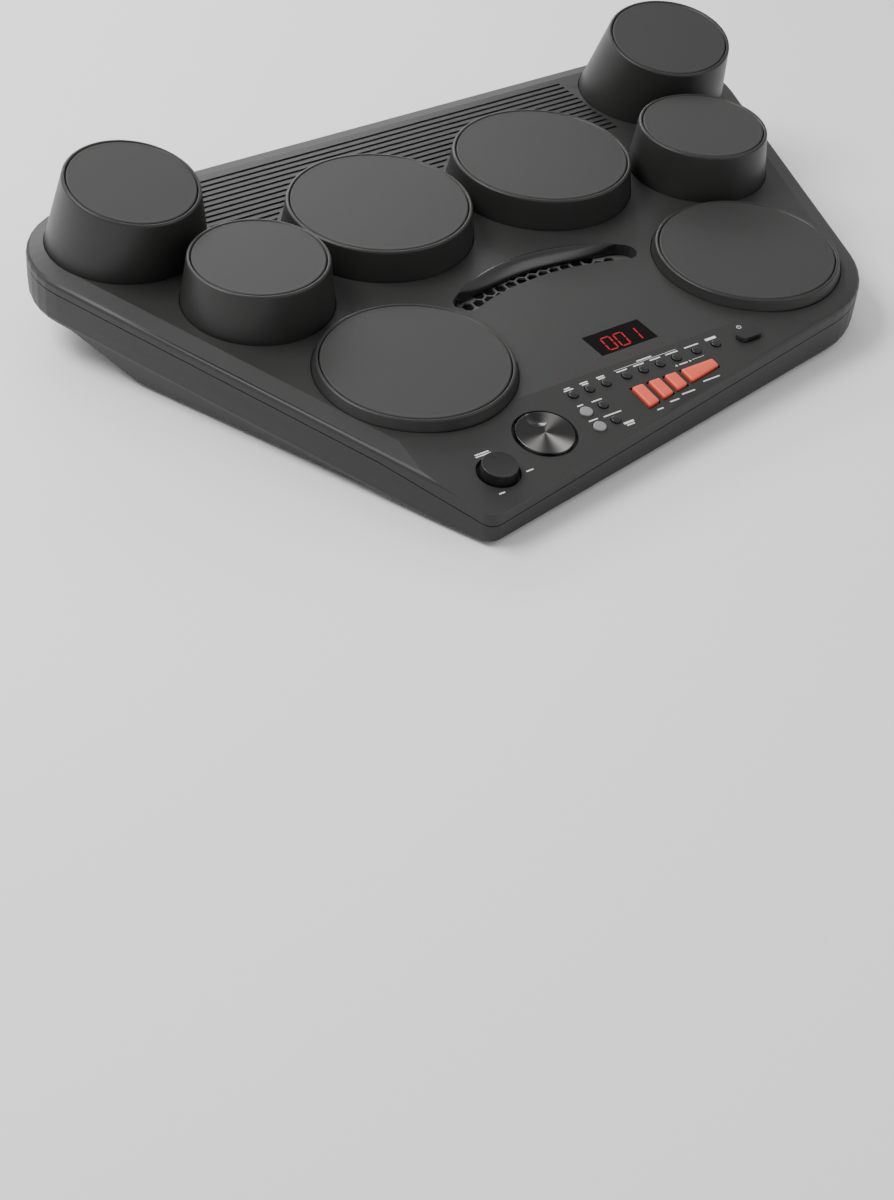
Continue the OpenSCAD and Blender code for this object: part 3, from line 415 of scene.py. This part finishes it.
def quad_corners(pts):
    """The four corners of a polygon's points: extreme along each diagonal."""
    xy = [(p.x, p.y) for p in pts]
    cx = sum(p[0] for p in xy) / len(xy)
    cy = sum(p[1] for p in xy) / len(xy)
    picks = [max(xy, key=lambda p: sx * (p[0] - cx) + 0.35 * sy * (p[1] - cy))
             for sx, sy in ((-1, -1), (1, -1), (1, 1), (-1, 1))]
    return picks


for node in ("rec_button", "break_button", "repeat_button", "start_button"):
    corners = quad_corners(strip_span(node, top_only=True))
    top = strip_centre(node)[2] - 0.5
    loops = [(0.15, 0.9, LOW), (0.15, 0.9, top - 1.3), (0.22, 0.95, top - 0.75),
             (0.5, 1.0, top - 0.3), (0.95, 1.0, top - 0.08), (1.5, 0.9, top + 0.03),
             (2.4, 0.6, top + 0.16), (3.4, 0.3, top + 0.24)]
    rings = [rounded_loop(corners, i, r, z, STRIP) for i, r, z in loops]
    cap = add_mesh(f"{node}_cap", *loft_mesh(rings, True, True), "coral_button",
                   f"{node}_body")
    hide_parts(node)

# ---- data dial: turned face with a finger dimple ----
x, y, top = strip_centre("data_dial")
dial_m = strip_at(x, y)
DIAL_R, DIMPLE_R, DIMPLE_AT, DIMPLE_DEEP = 19.3, 6.7, 12.3, 1.7
dimple = Vector((DIMPLE_AT * math.cos(math.radians(80)), DIMPLE_AT * math.sin(math.radians(80))))
face_z = top - 0.1
rings = [ring_points(dial_m, DIAL_R, -2.6, 144)]
for r, z in [(DIAL_R, face_z - 0.9)] + arc(DIAL_R - 0.6, face_z - 0.6, 0.6, 0, 90, 5)[1:]:
    rings.append(ring_points(dial_m, r, z, 144))
for step in range(1, 60):
    r = (DIAL_R - 0.6) * (1 - step / 60)
    ring = []
    for k in range(144):
        a = 2 * math.pi * k / 144
        px, py = r * math.cos(a), r * math.sin(a)
        d = math.hypot(px - dimple.x, py - dimple.y) / DIMPLE_R
        sink = DIMPLE_DEEP * (1 - d * d) ** 1.4 if d < 1 else 0
        rise = 0.16 * math.exp(-((d - 1.05) / 0.08) ** 2)
        ring.append(dial_m @ (Vector((px, py, face_z - sink + rise)) * MM))
    rings.append(ring)
dial = add_mesh("data_dial_face", *loft_mesh(rings, True, True), "dial_spun", "dial",
                at=dial_m, slot="gloss_black")
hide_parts("data_dial")

# ---- volume knob ----
x, y, top = strip_centre("volume_knob")
knob_m = strip_at(x, y)
KNOB_R, SKIRT_R = 11.7, 12.5
prof = [(0, top - 0.35), (KNOB_R - 3, top - 0.3), (KNOB_R - 1.2, top - 0.1)]
prof += arc(KNOB_R - 0.45, top - 0.45, 0.45, 95, 0, 5)
prof += [(KNOB_R + 0.25, 1.5), (SKIRT_R, -0.5), (SKIRT_R, -3.2), (0, -3.2)]
knob = lathe("volume_knob_cap", knob_m, prof, "satin_black", "knob", 128)
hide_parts("volume_knob")
# Pointer notch: a near-black bar laid on the knob top, painted shade in place of the notch's recess
verts, faces = [], []
bar(0, 6.6, 0, 11.2, 1.0, z=top - 0.02, m=knob_m)
add_mesh("volume_notch_shade", verts, faces, "painted_notch_shade", "knob", smooth=False,
         slot="satin_black")

# ---- sound slot: the rounded lip that runs down from its back edge to the honeycomb ----
SLOT_BACK_R, SLOT_MID_Y, SLOT_HALF_A = 128.8, 77.0, 32.4
LIP = [(0.0, -8.6), (0.0, -0.2), (0.6, 0.35), (1.8, 0.45), (3.4, -0.1), (5.6, -1.6),
       (8.0, -4.0), (9.8, -6.4), (10.6, -8.6)]
rings = []
for k in range(-40, 41):
    t = k / 40
    ang = math.radians(SLOT_HALF_A * t)
    width = max(0.12, (1 - abs(t) ** 3.2))
    ring = []
    for d, z in LIP:
        rr = SLOT_BACK_R + 0.4 - d * width
        ring.append(PANEL @ (Vector((rr * math.sin(ang),
                                     SLOT_MID_Y - SLOT_BACK_R + rr * math.cos(ang), z)) * MM))
    rings.append(ring)
add_mesh("slot_lip", *loft_mesh(rings, True, True), "lip_gloss", "unit", slot="satin_black")

# ---- printed marks: plain bars, arrows and a power sign, laid on the cover ----
from mathutils.bvhtree import BVHTree
cover_tree = BVHTree.FromObject(nodes["top_cover"], bpy.context.evaluated_depsgraph_get())
verts, faces = [], []


def on_cover(x, y, lift):
    start = STRIP @ (Vector((x, y, 8)) * MM)
    hit = cover_tree.ray_cast(start, -strip_n)[0]
    return (hit if hit is not None else STRIP @ (Vector((x, y, 0)) * MM)) + strip_n * lift * MM


def mark(outline):
    """Thin printed patch from a convex outline in strip mm."""
    base, n = len(verts), len(outline)
    for lift in (0.015, 0.045):
        verts.extend(on_cover(px, py, lift) for px, py in outline)
    faces.append(tuple(range(base + n, base + 2 * n)))
    faces.append(tuple(range(base + n - 1, base - 1, -1)))
    for k in range(n):
        faces.append((base + k, base + (k + 1) % n, base + n + (k + 1) % n, base + n + k))


def stripe(cx, cy, w, h=0.75, lean=0.0):
    """Printed bar centred on cx, cy; lean tilts it along the slanted front edge."""
    ends = [(cx - w / 2, cy - lean * w / 2), (cx + w / 2, cy + lean * w / 2)]
    mark([(ends[0][0], ends[0][1] - h / 2), (ends[1][0], ends[1][1] - h / 2),
          (ends[1][0], ends[1][1] + h / 2), (ends[0][0], ends[0][1] + h / 2)])


for k, widths in zip(range(1, 4), ((4.6, 7.4), (6.4, 5.2), (6.2, 5.6))):
    x, y, _ = strip_centre(f"function_button_{k}")
    stripe(x, y + 6.9, widths[0], 1.0)
    stripe(x, y + 5.2, widths[1], 1.0)
for k, w in zip(range(4, 9), (8.6, 8.8, 8.8, 10.4, 12.0)):
    x, y, _ = strip_centre(f"function_button_{k}")
    stripe(x, y + 5.6, w, 1.0)
x4, y4, _ = strip_centre("function_button_4")
x7 = strip_centre("function_button_7")[0]
stripe((x4 + x7) / 2, y4 + 7.4, x7 - x4 + 10, 0.3)
stripe((x4 + x7) / 2, y4 + 8.9, 12.5, 1.0)
x, y, _ = strip_centre("function_button_9")
stripe(x, y + 6.0, 9.0, 2.2)
for node, dx, dy, w in (("click_button", -1.0, 5.6, 8.0), ("tempo_button", 1.5, 5.8, 14.0),
                        ("kit_button", 0, 6.7, 4.6), ("song_button", 0, 6.9, 7.0)):
    x, y, _ = strip_centre(node)
    stripe(x + dx, y + dy, w, 1.0)
x, y, _ = strip_centre("tempo_button")
stripe(x + 6.5, y - 5.2, 8.0, 1.7)
stripe(x + 6.5, y - 7.4, 6.2, 1.0)
for node, w in (("rec_button", 5.0), ("break_button", 7.6), ("repeat_button", 11.0),
                ("start_button", 14.0)):
    pts = strip_span(node)
    x = (min(p.x for p in pts) + max(p.x for p in pts)) / 2 + 1.2
    y = min(p.y for p in pts) - 2.0
    stripe(x, y + (1.6 if node == "start_button" else 0.2), w, 1.0, lean=0.0)
xs, ys, _ = strip_centre("start_button")
yt = strip_centre("function_button_6")[1] - 6.4
stripe(xs - 6.5, yt, 7.0, 0.9)
for cx, s in ((xs - 12.5, -1), (xs - 0.5, 1)):
    mark([(cx - 0.8 * s, yt - 0.9), (cx + 1.1 * s, yt), (cx - 0.8 * s, yt + 0.9)][::s])
stripe(xs + 6.5, yt + 0.4, 10.0, 0.28)
x, y, _ = strip_centre("volume_knob")
stripe(x, y + 18.6, 10.5, 1.0)
stripe(x, y + 16.8, 11.5, 1.0)
stripe(x - 9.0, y - 16.6, 4.4, 1.0)
stripe(x + 18.5, y - 7.5, 5.4, 1.0)
x, y, _ = strip_centre("power_button")
for k in range(14):
    a0, a1 = (math.radians(125 + 290 * j / 14) for j in (k, k + 1))
    cx, cy, r0, r1 = x, y + 10.5, 1.35, 1.75
    mark([(cx + r0 * math.cos(a0), cy + r0 * math.sin(a0)),
          (cx + r1 * math.cos(a0), cy + r1 * math.sin(a0)),
          (cx + r1 * math.cos(a1), cy + r1 * math.sin(a1)),
          (cx + r0 * math.cos(a1), cy + r0 * math.sin(a1))][::-1])
mark([(x - 0.2, y + 10.4), (x + 0.2, y + 10.4), (x + 0.2, y + 12.6), (x - 0.2, y + 12.6)])
add_mesh("printed_marks", verts, faces, "print_white", "unit", smooth=False,
         slot="case_plastic")

# ---- floor, light and camera ----
floor = bpy.data.meshes.new("floor")
F = 6.0
floor.from_pydata([(-F, -F, 0), (F, -F, 0), (F, F, 0), (-F, F, 0)], [], [(0, 1, 2, 3)])
floor.materials.append(material("floor_pale", (0.82, 0.82, 0.82), 0.7, vary=0.01, blotch_mm=900))
floor_ob = bpy.data.objects.new("floor", floor)
bpy.context.scene.collection.objects.link(floor_ob)

world = bpy.data.worlds.new("studio")
bpy.context.scene.world = world
world.use_nodes = True
world.node_tree.nodes["Background"].inputs["Color"].default_value = (1, 1, 1, 1)
world.node_tree.nodes["Background"].inputs["Strength"].default_value = 0.72


def area(name, at, look, size, power):
    light = bpy.data.lights.new(name, "AREA")
    light.shape = "RECTANGLE"
    light.size, light.size_y = size
    light.energy = power
    ob = bpy.data.objects.new(name, light)
    ob.location = at
    ob.rotation_mode = "QUATERNION"
    ob.rotation_quaternion = (Vector(look) - Vector(at)).to_track_quat("-Z", "Y")
    bpy.context.scene.collection.objects.link(ob)


area("key", (-0.9, 0.5, 1.5), (0, 0, 0.05), (1.1, 0.7), 34)
area("back", (0.3, 1.6, 0.9), (0, 0, 0.05), (1.6, 0.4), 16)
area("fill", (0.9, -1.3, 1.0), (0, 0, 0.05), (1.0, 1.0), 6)

cam = bpy.data.cameras.new("camera")
cam.lens = 64.85
cam.sensor_width = 36.0
cam.clip_start, cam.clip_end = 0.05, 50
cam_ob = bpy.data.objects.new("camera", cam)
AZ, EL, ROLL = math.radians(-35.6597), math.radians(37.0406), math.radians(-1.509)
back = Vector((math.sin(AZ) * math.cos(EL), -math.cos(AZ) * math.cos(EL), math.sin(EL)))
right = (-back).cross(Vector((0, 0, 1))).normalized()
down = (-back).cross(right)
r2 = math.cos(ROLL) * right + math.sin(ROLL) * down
d2 = -math.sin(ROLL) * right + math.cos(ROLL) * down
cam_ob.matrix_world = frame_matrix(Vector((-0.82193, -1.06544, 0.76768)), r2, -d2, back)
bpy.context.scene.collection.objects.link(cam_ob)
bpy.context.scene.camera = cam_ob
